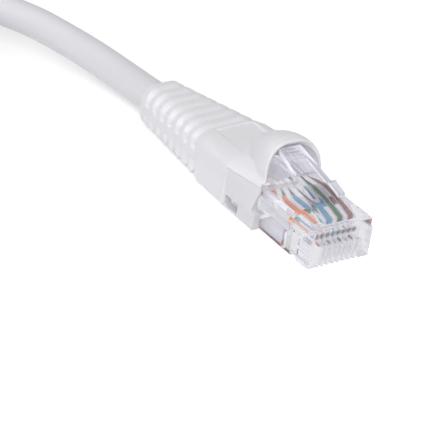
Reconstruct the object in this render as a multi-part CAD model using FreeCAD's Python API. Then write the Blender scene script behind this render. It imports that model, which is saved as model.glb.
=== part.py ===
import FreeCAD, Part
import math
import os

# Ethernet patch cable: one metre of round jacketed cable with the same clear
# eight-way plug and ribbed, hooded boot on both ends.
# Millimetres. The origin is under the middle of plug A's nose, on the surface
# that the cable lies on. X points out of plug A's nose, the way it plugs in,
# Y points to its eighth contact and Z points up, to the side with the latch.
# Plug A lies along X. The cable leaves its boot towards -X, swings to -Y,
# rides up onto the coil that holds the rest of its length, and comes out of
# the coil's lower layer into plug B, which lies beside plug A.

Vector = FreeCAD.Vector
X_AXIS = Vector(1, 0, 0)
Y_AXIS = Vector(0, 1, 0)
Z_AXIS = Vector(0, 0, 1)

# Plug housing, measured back from the nose and up from the contact side
plug_width = 11.68
plug_length = 21.5
nose_height = 6.6
rear_height = 7.3
rear_from = 13.0
flange_height = 5.0
top_width = 10.8
nose_chamfer = 0.15

# Contacts and the wires under them
ways = 8
pitch = 1.016
blade_thickness = 0.35
blade_front = 0.9
blade_length = 5.0
blade_base = 0.35
blade_corner = 0.5
blade_clearance = 0.1
slot_width = 0.5
slot_height = 3.2
slot_eye = 0.62
tine_front = 3.5
tine_width = 0.7
tine_gap = 0.5
tine_reach = 0.35

# Insulated conductors, straight to behind the wire guide and then gathered into the jacket
wire_diameter = 0.86
core_diameter = 0.5
wire_height = 4.1
wire_clearance = 0.03
wire_front = 3.2
wire_straight = 1.1
wire_gather = 0.3
wire_in_jacket = 3.0
pair_spread = 1.14
pair_lift = 0.6
pair_skew = 0.25

# Wire guide, called a load bar, in its pocket behind the contacts
bar_setback = 1.05
bar_length = 3.65
bar_width = 8.4
bar_height = 2.2
bar_clearance = 0.1
spread_room = 4.0

# Bar that grips the jacket, in its recess on the contact side
grip_front = 15.4
grip_rear = 18.6
grip_lip = 0.6
grip_slope = 1.0
grip_margin = 0.4
grip_clearance = 0.2
grip_roof = 0.35

# Marks on the housing's sides
side_slot_at = 6.3
side_slot_width = 0.8
side_slot_height = 3.1
side_slot_depth = 0.5
foot_notch_at = 3.1
foot_notch_length = 1.4
foot_notch_depth = 0.4
cheek_front = 0.5
cheek_rear = 3.0
cheek_foot = 0.9
cheek_height = 1.1
cheek_gap = 0.6
cheek_depth = 0.2

# Latch, sprung up from the nose: a ramp up to its crest, then a flatter tab
hinge_back = 1.7
hinge_radius = 0.55
hinge_clearance = 0.1
hinge_sink = 0.15
crest_back = 4.4
crest_rise = 1.85
latch_angle = 17.3
latch_thickness = 0.85
latch_width = 6.0
latch_travel = 12.0
latch_clearance = 0.15
catch_back = 7.4
catch_wall = 1.3
catch_rise = 0.5
catch_slope = 0.3
tab_root_width = 5.2
tab_width = 4.1
tab_back = 15.8
tab_rail = 0.9
tab_channel = 0.35
tab_web = 0.4
grip_ribs = 3
grip_rib_width = 0.35
grip_rib_rise = 0.25

# Cable
cable_diameter = 6.0
jacket_wall = 0.45
cable_height = 4.1
bore_clearance = 0.1

# Boot, moulded round the back of the plug
boot_overlap = 7.4
boot_reach = 29.1
boot_side_wall = 1.81
boot_roof = 1.2
shoulder_width = 3.6
shoulder_drop = 1.6
boot_foot_radius = 0.5
panel_depth = 0.35
panel_half_width = 3.9
panel_reach = 9.8
plug_clearance = 0.08
bend_delay = 0.5
bend_length = 8.0
bend_angle = 5.5

# The boot's front, drawn in over the plug, and the skirts on its sides
front_roof = 0.5
front_side_wall = 0.6
front_shoulder_width = 0.9
front_shoulder_drop = 1.25
skirt_step = 0.3
skirt_flare_height = 2.9
skirt_overlap = 0.2
apron_length = 1.2
apron_height = 2.6
window_inset = 0.3
window_length = 3.6
window_height = 2.1
window_foot = 0.35

# The boot's tail
tail_delay = 9.5
tail_half_width = 7.0
tail_step = 0.1
tail_foot = 0.2
tail_foot_radius = 1.0
tail_drop = 1.8
end_side_wall = 1.35
end_top_wall = 0.8
end_radius = 2.8

# Ribs of the tail's upper side and slots of its lower side, with a plain spine between
rib_count = 7
rib_pitch = 2.65
rib_groove = 1.3
rib_depth = 0.7
rib_lead = 1.4
spine_height = 1.3
slot_count = 8
slot_pitch = 2.32
slot_depth = 1.1
slot_lead = 0.8

# Hood over the latch's tip
hood_forward = 0.2
hood_lean = 0.95
hood_length = 10.8
hood_inset = 0.8
hood_rise = 5.9
hood_wall = 1.1
hood_roof = 1.7
hood_rooting = 1.5
hood_least = 0.3
arch_width_share = 0.94
arch_height_share = 0.82
# From front to rear: share of the hood's length, of its half width and of its rise
hood_stations = [
    (0.0, 1.0, 1.0),
    (0.32, 0.93, 0.84),
    (0.66, 0.72, 0.55),
    (1.0, 0.22, 0.09),
]

# Coil of the length that is put away, two layers deep
coil_x = -85.0
coil_y = -61.5
coil_gap = 0.5
coil_inner_radius = 21.7
coil_start_angle = 135.0
coil_turns_in = 2.0
coil_turns_out = 2.375
arcs_per_turn = 4

# Tie round the coil
tie_thickness = 0.5
tie_width = 5.0
tie_slack = 0.25
tie_angle = 200.0

# Plug B lies as plug A does, moved by this much
plug_b_x = -1.5
plug_b_y = -93.8

# Cable route between boot A and the coil, and between the coil and boot B.
# The first and last points of each come from the boots and the coil, with
# these straight leads there.
boot_a_lead = 8.0
coil_in_lead = 12.0
coil_out_lead = 7.0
boot_b_lead = 7.0
route_a = [
    Vector(-72.0, -5.9, 5.3),
    Vector(-87.5, -13.8, 8.2),
]

# How far a cutting solid runs past the face it cuts, and how deep a joined one sinks in
past = 1.0
bite = 0.1

# Sizes that follow from those above
cable_radius = cable_diameter / 2
wire_radius = wire_diameter / 2
half_plug = plug_width / 2
blade_rear = blade_front + blade_length
bar_front = blade_rear + bar_setback
bar_rear = bar_front + bar_length
jacket_start = bar_rear + spread_room
hinge_height = nose_height - hinge_sink
crest_height = nose_height + crest_rise
boot_front = plug_length - boot_overlap
boot_length = plug_length + boot_reach
boot_half_width = half_plug + boot_side_wall
boot_top = rear_height + boot_roof
front_top = rear_height + front_roof
front_waist = top_width / 2 + front_side_wall
skirt_rear = plug_length - skirt_overlap
panel_rear = plug_length + panel_reach
bend_from = plug_length + bend_delay
tail_from = plug_length + tail_delay
end_half_width = cable_radius + end_side_wall
end_half_height = cable_radius + end_top_wall
hood_front = boot_front - hood_forward
hood_half_width = front_waist - hood_inset
hood_top = boot_top + hood_rise
hood_floor = boot_top - hood_rooting

nodes = {}


def box(x0, x1, y0, y1, z0, z1):
    return Part.makeBox(x1 - x0, y1 - y0, z1 - z0, Vector(x0, y0, z0))


def prism_y(points, width, middle=0.0):
    # Outline in X and Z, made as thick as the width along Y
    outline = [Vector(x, middle - width / 2, z) for x, z in points]
    face = Part.Face(Part.makePolygon(outline + outline[:1]))
    return face.extrude(Vector(0, width, 0))


def rod_x(x0, x1, y, z, diameter):
    return Part.makeCylinder(diameter / 2, x1 - x0, Vector(x0, y, z), X_AXIS)


def both_sides(shape):
    return [shape, shape.mirror(Vector(0, 0, 0), Y_AXIS)]


def way_y(way):
    return (way - (ways + 1) / 2) * pitch


def boot_axis(back):
    # Middle of the boot and its direction, this far back from the nose
    turn = math.radians(bend_angle)
    radius = bend_length / turn
    run = min(max(back - bend_from, 0.0), bend_length)
    angle = run / radius
    rest = back - bend_from - run
    x = -bend_from - radius * math.sin(angle) - rest * math.cos(angle)
    y = -radius * (1 - math.cos(angle)) - max(rest, 0.0) * math.sin(angle)
    if back < bend_from:
        x = -back
        y = 0.0
    return Vector(x, y, cable_height), Vector(-math.cos(angle), -math.sin(angle), 0)


def rounded_path(points):
    # Straight runs joined by tangent arcs, as large as the two runs allow
    edges = []
    radii = []
    start = points[0]
    for before, corner, after in zip(points, points[1:], points[2:]):
        into = (corner - before).normalize()
        out = (after - corner).normalize()
        shorter = min((corner - before).Length, (after - corner).Length)
        turn = into.getAngle(out)
        cut = 0.45 * shorter
        radii.append(cut / math.tan(turn / 2))
        first = corner - into * cut
        last = corner + out * cut
        weight = math.cos(turn / 2)
        middle = (first + corner * (2 * weight) + last) * (1 / (2 + 2 * weight))
        edges.append(Part.LineSegment(start, first).toShape())
        edges.append(Part.Arc(first, middle, last).toShape())
        start = last
    edges.append(Part.LineSegment(start, points[-1]).toShape())
    return Part.Wire(edges), radii


def swept(path, diameter, start, direction):
    profile = Part.Wire([Part.makeCircle(diameter / 2, start, direction)])
    return path.makePipeShell([profile], True, False)


def say_tube(name, solid, path, diameter, radii):
    expected = path.Length * math.pi * diameter**2 / 4
    ratio = solid.Volume / expected
    tightest = ", ".join(f"{r:.1f}" for r in radii)
    print(f"{name}: length {path.Length:.1f}, volume ratio {ratio:.4f}, radii {tightest}")


# Plug housing
def latch_top(back, up=0.0):
    # Point in X and Z on or above the upper face of the latch's tab
    rise = (back - crest_back) * math.tan(math.radians(latch_angle))
    return -back, crest_height + rise + up


def pressed(point):
    # Where that point of the latch is once the latch is pressed home
    turn = math.radians(latch_travel)
    x = point[0] + hinge_back
    z = point[1] - hinge_height
    turned_x = x * math.cos(turn) - z * math.sin(turn)
    turned_z = x * math.sin(turn) + z * math.cos(turn)
    return turned_x - hinge_back, turned_z + hinge_height


def contact(way):
    # Blade with a cut corner at the nose and two tines that pierce the wire
    y = way_y(way)
    half = blade_thickness / 2
    top = slot_height - blade_clearance
    blade = box(-blade_rear, -blade_front, y - half, y + half, blade_base, top)
    corner = [
        (-blade_front + bite, blade_base - bite),
        (-blade_front - blade_corner, blade_base - bite),
        (-blade_front + bite, blade_base + blade_corner),
    ]
    blade = blade.cut(prism_y(corner, 2 * blade_thickness, y))
    tip = wire_height + tine_reach
    for k in range(2):
        front = tine_front + k * (tine_width + tine_gap)
        tine = [
            (-front, top - bite),
            (-front, tip - tine_width / 2),
            (-front - tine_width / 2, tip),
            (-front - tine_width, tip - tine_width / 2),
            (-front - tine_width, top - bite),
        ]
        blade = blade.fuse(prism_y(tine, blade_thickness, y))
    return blade.removeSplitter()


def tine_slit(way):
    # Room for one contact's tines
    y = way_y(way)
    gap = blade_clearance / 2
    half = blade_thickness / 2 + gap
    rear = tine_front + 2 * tine_width + tine_gap + gap
    low = slot_height - bite
    return box(-rear, -tine_front + gap, y - half, y + half, low, wire_height + tine_reach + gap)


def wire_route(way):
    y = way_y(way)
    pair = (way + 1) // 2
    side = 1 if way % 2 == 0 else -1
    end_y = (pair - 2.5) * pair_spread + side * pair_skew
    end_z = cable_height - side * pair_lift
    return [
        Vector(-wire_front, y, wire_height),
        Vector(-bar_rear - wire_straight, y, wire_height),
        Vector(-jacket_start + wire_gather, end_y, end_z),
        Vector(-jacket_start - wire_in_jacket, end_y, end_z),
    ]


def bent_rod(points, diameter):
    path, _ = rounded_path(points)
    return swept(path, diameter, points[0], X_AXIS)


def wire_shapes(way, blade):
    points = wire_route(way)
    outer = bent_rod(points, wire_diameter)
    core = bent_rod(points, core_diameter)
    return outer.cut(core).cut(blade), core.cut(blade)


def housing():
    low = box(-plug_length, 0, -half_plug, half_plug, 0, flange_height)
    high = box(-plug_length, 0, -top_width / 2, top_width / 2, 0, nose_height)
    rear = box(-plug_length, -rear_from, -top_width / 2, top_width / 2, 0, rear_height)
    body = low.fuse([high, rear]).removeSplitter()
    upright = []
    for edge in body.Edges:
        x = edge.BoundBox.XMin
        if edge.BoundBox.ZLength > 1 and abs(x) < 0.001:
            upright.append(edge)
    body = body.makeChamfer(nose_chamfer, upright)
    body = body.cut(housing_hollows())
    return body


def housing_hollows():
    cuts = []
    channel = wire_diameter + 2 * wire_clearance
    for way in range(1, ways + 1):
        y = way_y(way)
        half = slot_width / 2
        cuts.append(box(-blade_rear - blade_clearance, past, y - half, y + half, -past, slot_height))
        cuts.append(rod_x(-blade_front, past, y, slot_height, slot_eye))
        cuts.append(tine_slit(way))
        cuts.append(rod_x(-bar_front, -wire_front + wire_clearance, y, wire_height, channel))
    # Pocket for the wire guide and the room where the wires spread
    half = bar_width / 2 + bar_clearance
    low = wire_height - bar_height / 2 - bar_clearance
    high = wire_height + bar_height / 2 + bar_clearance
    cuts.append(box(-jacket_start, -bar_front + bar_clearance, -half, half, low, high))
    bore = cable_diameter + 2 * bore_clearance
    cuts.append(rod_x(-plug_length - past, -jacket_start + bore_clearance, 0, cable_height, bore))
    # Recess under the pressed latch, and the round seat of its hinge
    half = latch_width / 2 + latch_clearance
    root = pressed((-hinge_back - hinge_radius, hinge_height))
    under_crest = pressed(latch_top(crest_back, -latch_thickness))
    recess = [
        (-hinge_back, root[1] - latch_clearance),
        (root[0], root[1] - latch_clearance),
        (under_crest[0], under_crest[1] - latch_clearance),
        (under_crest[0], nose_height + past),
        (-hinge_back, nose_height + past),
    ]
    cuts.append(prism_y(recess, 2 * half))
    seat = Part.makeCylinder(
        hinge_radius + hinge_clearance,
        2 * half,
        Vector(-hinge_back, -half, hinge_height),
        Y_AXIS,
    )
    cuts.append(seat)
    # Marks on both sides
    outer = half_plug + past
    slot_rear = side_slot_at + side_slot_width
    notch_rear = foot_notch_at + foot_notch_length
    marks = [
        box(-slot_rear, -side_slot_at, half_plug - side_slot_depth, outer, bite, side_slot_height),
        box(-notch_rear, -foot_notch_at, half_plug - foot_notch_depth, outer, -past, foot_notch_depth),
    ]
    for k in range(2):
        low = cheek_foot + k * (cheek_height + cheek_gap)
        high = low + cheek_height
        marks.append(box(-cheek_rear, -cheek_front, half_plug - cheek_depth, outer, low, high))
    for mark in marks:
        cuts.extend(both_sides(mark))
    half = cable_radius - grip_margin
    cuts.append(box(-grip_rear, -grip_front, -half, half, -past, grip_top()))
    return cuts


def grip_top():
    return cable_height - cable_radius - bore_clearance - grip_roof


def grip_bar():
    # Tilted bar moulded in the recess on the contact side
    half = cable_radius - grip_margin - grip_clearance
    front = grip_front + grip_lip
    outline = [
        (-grip_rear, bite),
        (-front, bite),
        (-front - grip_slope, grip_top()),
        (-grip_rear, grip_top()),
    ]
    return prism_y(outline, 2 * half)


def load_bar():
    half = bar_width / 2
    low = wire_height - bar_height / 2
    bar = box(-bar_rear, -bar_front, -half, half, low, low + bar_height)
    hole = wire_diameter + 2 * wire_clearance
    for way in range(1, ways + 1):
        bar = bar.cut(rod_x(-bar_rear - past, -bar_front + past, way_y(way), wire_height, hole))
    return bar


def tab_block(front, front_half, rear, rear_half, low, high):
    # Block along the tab, as wide as given at each end
    wires = []
    for back, half in ((front, front_half), (rear, rear_half)):
        x, bottom = latch_top(back, low)
        _, top = latch_top(back, high)
        corners = [
            Vector(x, -half, bottom),
            Vector(x, half, bottom),
            Vector(x, half, top),
            Vector(x, -half, top),
        ]
        wires.append(Part.makePolygon(corners + corners[:1]))
    return Part.makeLoft(wires, True, True)


def latch():
    plate = prism_y(
        [
            (-hinge_back, hinge_height + hinge_radius),
            latch_top(crest_back),
            latch_top(catch_back),
            latch_top(catch_back, -latch_thickness),
            latch_top(crest_back, -latch_thickness),
            (-hinge_back - hinge_radius, hinge_height),
            (-hinge_back, hinge_height),
        ],
        latch_width,
    )
    roll = Part.makeCylinder(
        hinge_radius,
        latch_width,
        Vector(-hinge_back, -latch_width / 2, hinge_height),
        Y_AXIS,
    )
    root = tab_root_width / 2
    tip = tab_width / 2
    tab = tab_block(catch_back, root, tab_back, tip, -latch_thickness, 0)
    body = plate.fuse([tab, roll])
    for side in (-1, 1):
        middle = side * (latch_width - catch_wall) / 2
        lug = [
            latch_top(crest_back, -bite),
            latch_top(crest_back + catch_slope, catch_rise),
            latch_top(catch_back, catch_rise),
            latch_top(catch_back, -bite),
        ]
        body = body.fuse(prism_y(lug, catch_wall, middle))
    grip_from = tab_back - 2 * grip_ribs * grip_rib_width - grip_rib_width
    channel_rear = grip_from - grip_rib_width
    share = (channel_rear - catch_back) / (tab_back - catch_back)
    rear = root + (tip - root) * share
    channel = tab_block(
        catch_back + tab_web, root - tab_rail, channel_rear, rear - tab_rail, -tab_channel, past
    )
    body = body.cut(channel)
    for k in range(grip_ribs):
        at = grip_from + k * 2 * grip_rib_width
        rib = [
            latch_top(at, -bite),
            latch_top(at, grip_rib_rise),
            latch_top(at + grip_rib_width, grip_rib_rise),
            latch_top(at + grip_rib_width, -bite),
        ]
        body = body.fuse(prism_y(rib, tab_width - 2 * tab_rail))
    return body.removeSplitter()


# Boot and hood
def quarter(start, corner, end):
    # Quarter of an ellipse that turns inside this corner
    curve = Part.BezierCurve()
    curve.setPoles([start, corner, end])
    curve.setWeight(2, math.sqrt(0.5))
    return curve.toShape()


def line(start, end):
    return Part.LineSegment(start, end).toShape()


def across(back):
    # Gives points across the boot, this far back from the nose
    middle, direction = boot_axis(back)
    side = Vector(direction.y, -direction.x, 0)
    return lambda y, z: Vector(middle.x, middle.y, 0) + side * y + Vector(0, 0, z)


def boot_section(back, half_width, low, high, wide, deep, foot):
    # Rounded outline across the boot, its shoulders so wide and so deep
    at = across(back)
    w = half_width
    edges = []
    for k in (1, -1):
        shoulder = [at(k * w, high - deep), at(k * w, high), at(k * (w - wide), high)]
        heel = [at(k * (w - foot), low), at(k * w, low), at(k * w, low + foot)]
        if k > 0:
            edges.append(quarter(*heel))
            edges.append(line(heel[2], shoulder[0]))
            edges.append(quarter(*shoulder))
            edges.append(line(shoulder[2], at(wide - w, high)))
        else:
            edges.append(quarter(*shoulder[::-1]))
            edges.append(line(shoulder[0], heel[2]))
            edges.append(quarter(*heel[::-1]))
            edges.append(line(heel[0], at(w - foot, low)))
    return Part.Wire(edges)


def body_section(back):
    share = (back - skirt_rear) / (tail_from - skirt_rear)
    half = boot_half_width + (tail_half_width - boot_half_width) * share
    return boot_section(
        back, half, 0.0, boot_top, shoulder_width, shoulder_drop, boot_foot_radius
    )


def tail_share(back):
    return (back - tail_from) / (boot_length - tail_from)


def tail_section(back, inset=0.0):
    share = tail_share(back)
    mix = lambda a, b: a + (b - a) * share
    return boot_section(
        back,
        mix(tail_half_width - tail_step, end_half_width) - inset,
        mix(tail_foot, cable_height - end_half_height) + inset,
        mix(boot_top - tail_step, cable_height + end_half_height) - inset,
        mix(shoulder_width, end_radius) - inset / 2,
        mix(tail_drop, end_radius) - inset / 2,
        mix(tail_foot_radius, end_radius) - inset / 2,
    )


def roof_section(back, half_width, low, high, wide):
    # Outline of the boot's top from one shoulder's foot to the other's
    at = across(back)
    w = half_width
    edges = [
        quarter(at(w, low), at(w, high), at(w - wide, high)),
        line(at(w - wide, high), at(wide - w, high)),
        quarter(at(wide - w, high), at(-w, high), at(-w, low)),
        line(at(-w, low), at(w, low)),
    ]
    return Part.Wire(edges)


def skirt_section(back, waist, high):
    # Outline of the boot below its shoulders, where the plug is inside
    at = across(back)
    w = boot_half_width - skirt_step
    corners = [
        at(w, 0),
        at(w, skirt_flare_height),
        at(waist - skirt_step, high),
        at(skirt_step - waist, high),
        at(-w, skirt_flare_height),
        at(-w, 0),
    ]
    return Part.makePolygon(corners + corners[:1])


def boot_outside():
    rear_low = boot_top - shoulder_drop
    front_low = front_top - front_shoulder_drop
    roof = Part.makeLoft(
        [
            roof_section(boot_front, front_waist, front_low, front_top, front_shoulder_width),
            roof_section(skirt_rear, boot_half_width, rear_low, boot_top, shoulder_width),
        ],
        True,
        True,
    )
    skirt = Part.makeLoft(
        [
            skirt_section(boot_front, front_waist, front_low),
            skirt_section(skirt_rear, boot_half_width, rear_low),
        ],
        True,
        True,
    )
    middle = bend_from + bend_length / 2
    stations = [skirt_rear, bend_from, middle, tail_from - past]
    lofts = [roof, skirt]
    for front, rear in zip(stations, stations[1:]):
        lofts.append(Part.makeLoft([body_section(front), body_section(rear)], True, True))
    lofts.append(Part.makeLoft([body_section(tail_from - past), tail_section(tail_from)], True, True))
    lofts.append(Part.makeLoft([tail_section(tail_from), tail_section(boot_length)], True, True))
    return lofts[0].fuse(lofts[1:]).removeSplitter()


def groove_ring(back, depth):
    # Ring round the tail that reaches this deep into it
    front = back - rib_groove / 2
    rear = back + rib_groove / 2
    core = Part.makeLoft([tail_section(front, depth), tail_section(rear, depth)], True, True)
    whole = Part.makeLoft([tail_section(front, -past), tail_section(rear, -past)], True, True)
    return whole.cut(core)


def rib_grooves():
    reach = 2 * boot_length
    upper = box(-reach, 0, -reach, reach, cable_height + spine_height / 2, reach)
    lower = box(-reach, 0, -reach, reach, -reach, cable_height - spine_height / 2)
    cuts = []
    for k in range(rib_count):
        ring = groove_ring(tail_from + rib_lead + k * rib_pitch, rib_depth)
        cuts.append(ring.common(upper))
    for k in range(slot_count):
        ring = groove_ring(tail_from + slot_lead + k * slot_pitch, slot_depth)
        cuts.append(ring.common(lower))
    return cuts


def hood_arch(back, half_width, low, high):
    # Arch across the hood: upright walls under a tall round top
    w = half_width
    wide = w * arch_width_share
    deep = (high - low) * arch_height_share
    p = [
        Vector(-back, -w, low),
        Vector(-back, -w, high - deep),
        Vector(-back, wide - w, high),
        Vector(-back, w - wide, high),
        Vector(-back, w, high - deep),
        Vector(-back, w, low),
    ]
    edges = [
        line(p[0], p[1]),
        quarter(p[1], Vector(-back, -w, high), p[2]),
        line(p[2], p[3]),
        quarter(p[3], Vector(-back, w, high), p[4]),
        line(p[4], p[5]),
        line(p[5], p[0]),
    ]
    return Part.Wire(edges)


def hood_loft(wall, roof, low, forward):
    # The hood's outside, or its inside where it has walls, from this far ahead of it
    wires = []
    for along, width, rise in hood_stations:
        back = hood_front + along * (hood_length - wall)
        half = max(hood_half_width * width - wall, hood_least)
        high = max(boot_top + hood_rise * rise - roof, low + hood_least)
        wires.append(hood_arch(back, half, low, high))
    if forward > 0:
        front = hood_arch(hood_front - forward, hood_half_width - wall, low, hood_top - roof)
        wires.insert(0, front)
    return Part.makeLoft(wires, True, True)


def hood_and_boot():
    outside = boot_outside()
    dome = hood_loft(0, 0, hood_floor, 0)
    room = hood_loft(hood_wall, hood_roof, hood_floor - bite, past)
    # The hood's open end leans back from its foot
    lean = [
        (-hood_front + past, hood_floor - past),
        (-hood_front, hood_floor - past),
        (-hood_front, front_top),
        (-hood_front - hood_lean, hood_top),
        (-hood_front - hood_lean, hood_top + past),
        (-hood_front + past, hood_top + past),
    ]
    dome = dome.cut(prism_y(lean, 4 * hood_half_width))
    half = panel_half_width
    panel = box(-panel_rear, -hood_front, -half, half, boot_top - panel_depth, boot_top + past)
    boot = outside.cut(panel)
    # Room for the latch's tab under the hood's roof
    root = tab_root_width / 2 + latch_clearance
    tip = tab_width / 2 + latch_clearance
    top = grip_rib_rise + latch_clearance
    tab_room = tab_block(catch_back, root, tab_back + latch_clearance, tip, -latch_thickness, top)
    hood = dome.cut(boot).cut(room).cut(tab_room)
    hood = max(hood.Solids, key=lambda s: s.Volume)
    boot = boot.cut(room)
    # Blocks at the front of the skirts, and the windows in them
    inner = half_plug + plug_clearance
    side = boot_half_width - skirt_step
    apron = box(-boot_front - past, -boot_front + apron_length, inner, side, 0, apron_height)
    boot = boot.fuse(both_sides(apron))
    rear = skirt_rear - window_inset
    window = box(-rear, window_length - rear, inner - past, side + past, window_foot, window_height)
    boot = boot.cut(both_sides(window))
    # Room for the plug, and the bore for the cable behind it
    rear = plug_length + plug_clearance
    upper = top_width / 2 + plug_clearance
    boot = boot.cut(box(-rear, 0, -inner, inner, -past, flange_height + plug_clearance))
    boot = boot.cut(box(-rear, 0, -upper, upper, -past, rear_height + plug_clearance))
    path = axis_path(plug_length - past, boot_length + past)
    start, direction = boot_axis(plug_length - past)
    boot = boot.cut(swept(path, cable_diameter + 2 * bore_clearance, start, direction))
    boot = boot.cut(rib_grooves())
    return boot.removeSplitter(), hood


def axis_path(front, rear):
    # The cable's middle inside the boot: straight, one bend, straight
    a, _ = boot_axis(front)
    b, _ = boot_axis(bend_from)
    half_turn, _ = boot_axis(bend_from + bend_length / 2)
    c, _ = boot_axis(bend_from + bend_length)
    d, _ = boot_axis(rear)
    edges = [
        Part.LineSegment(a, b).toShape(),
        Part.Arc(b, half_turn, c).toShape(),
        Part.LineSegment(c, d).toShape(),
    ]
    return Part.Wire(edges)


def jacket_end():
    path = axis_path(jacket_start, boot_length)
    start, direction = boot_axis(jacket_start)
    outer = swept(path, cable_diameter, start, direction)
    inner = swept(path, cable_diameter - 2 * jacket_wall, start, direction)
    return outer.cut(inner)


def end_nodes(name, shift):
    # One whole plug with its boot, moved by the shift
    move = FreeCAD.Placement(shift, FreeCAD.Rotation())

    def put(node, shape):
        moved = shape.copy()
        moved.Placement = move.multiply(moved.Placement)
        nodes[node] = moved

    blades = [contact(way) for way in range(1, ways + 1)]
    put(f"plug_housing_{name}", housing().fuse(grip_bar()).removeSplitter())
    put(f"load_bar_{name}", load_bar())
    put(f"latch_{name}", latch())
    boot, hood = hood_and_boot()
    put(f"boot_{name}", boot)
    put(f"latch_hood_{name}", hood)
    put(f"jacket_end_{name}", jacket_end())
    colours = [
        "white_orange",
        "orange",
        "white_green",
        "blue",
        "white_blue",
        "green",
        "white_brown",
        "brown",
    ]
    cores = []
    for way, colour in enumerate(colours, 1):
        insulation, core = wire_shapes(way, blades[way - 1])
        put(f"wire_{colour}_{name}", insulation)
        cores.append(core)
    put(f"copper_cores_{name}", Part.Compound(cores))
    if name == "a":
        for way, blade in enumerate(blades, 1):
            put(f"contact_{way}_{name}", blade)
    else:
        put(f"contacts_{name}", Part.Compound(blades))


# Coil of the stored length
def coil_spot(turn):
    # Middle of the cable in the coil, counted in turns from where it reverses
    step = cable_diameter + coil_gap
    low = tie_thickness + tie_slack + cable_radius
    angle = math.radians(coil_start_angle) + 2 * math.pi * (turn + coil_turns_in)
    radius = coil_inner_radius + step * abs(turn)
    drop = min(max((turn + 0.25) * 2, 0.0), 1.0)
    z = low + step * (1 - drop * drop * (3 - 2 * drop))
    return Vector(coil_x + radius * math.cos(angle), coil_y + radius * math.sin(angle), z)


def coil_way(turn):
    # Direction of the cable there
    small = 0.0005
    return (coil_spot(turn + small) - coil_spot(turn - small)).normalize()


def biarc(start, start_way, end, end_way):
    chord = end - start
    both = start_way + end_way
    a = 2 * (1 - start_way.dot(end_way))
    b = chord.dot(both)
    reach = (-b + math.sqrt(b * b + a * chord.dot(chord))) / a
    first = start + start_way * reach
    second = end - end_way * reach
    joint = (first + second) * 0.5
    edges = []
    for p, corner, q in ((start, first, joint), (joint, second, end)):
        weight = (q - p).Length / (2 * reach)
        middle = (p + corner * (2 * weight) + q) * (1 / (2 + 2 * weight))
        edges.append(Part.Arc(p, middle, q).toShape())
    return edges


def coil():
    first = -coil_turns_in
    last = coil_turns_out
    count = round((last - first) * arcs_per_turn)
    marks = [first + (last - first) * k / count for k in range(count + 1)]
    start_way = coil_way(first + 0.001)
    end_way = coil_way(last - 0.001)
    start = coil_spot(first)
    end = coil_spot(last)
    lead_in = start - start_way * cable_diameter
    lead_out = end + end_way * cable_diameter
    edges = [Part.LineSegment(lead_in, start).toShape()]
    ways_there = [start_way] + [coil_way(m) for m in marks[1:-1]] + [end_way]
    for k in range(count):
        p = coil_spot(marks[k])
        q = coil_spot(marks[k + 1])
        edges.extend(biarc(p, ways_there[k], q, ways_there[k + 1]))
    edges.append(Part.LineSegment(end, lead_out).toShape())
    path = Part.Wire(edges)
    solid = swept(path, cable_diameter, lead_in, start_way)
    say_tube("coil", solid, path, cable_diameter, [coil_inner_radius])
    say_least_gap(path)
    return solid, path, (lead_in, start_way), (lead_out, end_way)


def say_least_gap(path):
    # Least gap of the coil to itself, on points two millimetres apart
    points = path.discretize(Distance=2.0)
    skip = round(4 * cable_diameter / 2.0)
    least = min(
        (p - q).Length
        for i, p in enumerate(points)
        for q in points[i + skip :]
    )
    print(f"coil: least gap to itself {least - cable_diameter:.2f}")


def tie():
    turns = [coil_turn_at(k) for k in range(round(coil_turns_in + coil_turns_out) + 1)]
    spots = []
    for turn in turns:
        if -coil_turns_in <= turn <= coil_turns_out:
            spot = coil_spot(turn)
            away = math.hypot(spot.x - coil_x, spot.y - coil_y)
            spots.append((away, spot.z))
    hull = convex(spots)
    outline = Part.makePolygon([Vector(r, 0, z) for r, z in hull + hull[:1]])
    inner = outline.makeOffset2D(cable_radius + tie_slack, 0)
    outer = outline.makeOffset2D(cable_radius + tie_slack + tie_thickness, 0)
    band = Part.Face(outer).cut(Part.Face(inner)).extrude(Vector(0, tie_width, 0))
    band.translate(Vector(0, -tie_width / 2, 0))
    band.rotate(Vector(0, 0, 0), Z_AXIS, tie_angle)
    band.translate(Vector(coil_x, coil_y, 0))
    return band


def coil_turn_at(k):
    share = (tie_angle - coil_start_angle) / 360.0
    return share + k - coil_turns_in


def convex(points):
    # Convex outline round a few points, counterclockwise
    ordered = sorted(points)

    def half(sequence):
        chain = []
        for p in sequence:
            while len(chain) >= 2 and cross(chain[-2], chain[-1], p) <= 0:
                chain.pop()
            chain.append(p)
        return chain[:-1]

    return half(ordered) + half(ordered[::-1])


def cross(a, b, c):
    return (b[0] - a[0]) * (c[1] - a[1]) - (b[1] - a[1]) * (c[0] - a[0])


def free_stretch(name, points):
    path, radii = rounded_path(points)
    start = points[0]
    solid = swept(path, cable_diameter, start, points[1] - points[0])
    say_tube(name, solid, path, cable_diameter, radii)
    return solid, path


plug_b_shift = Vector(plug_b_x, plug_b_y, 0)
end_nodes("a", Vector(0, 0, 0))
end_nodes("b", plug_b_shift)

coil_solid, coil_path, coil_entry, coil_exit = coil()
nodes["cable_coil"] = coil_solid

mouth, way_out = boot_axis(boot_length)
into_coil = coil_entry[0] - coil_entry[1] * coil_in_lead
points_a = [mouth, mouth + way_out * boot_a_lead] + route_a + [into_coil, coil_entry[0]]
stretch_a, path_a = free_stretch("cable_stretch_a", points_a)
nodes["cable_stretch_a"] = stretch_a

mouth_b = mouth + plug_b_shift
out_of_coil = coil_exit[0] + coil_exit[1] * coil_out_lead
points_b = [coil_exit[0], out_of_coil, mouth_b + way_out * boot_b_lead, mouth_b]
stretch_b, path_b = free_stretch("cable_stretch_b", points_b)
nodes["cable_stretch_b"] = stretch_b

nodes["coil_tie"] = tie()

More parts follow.
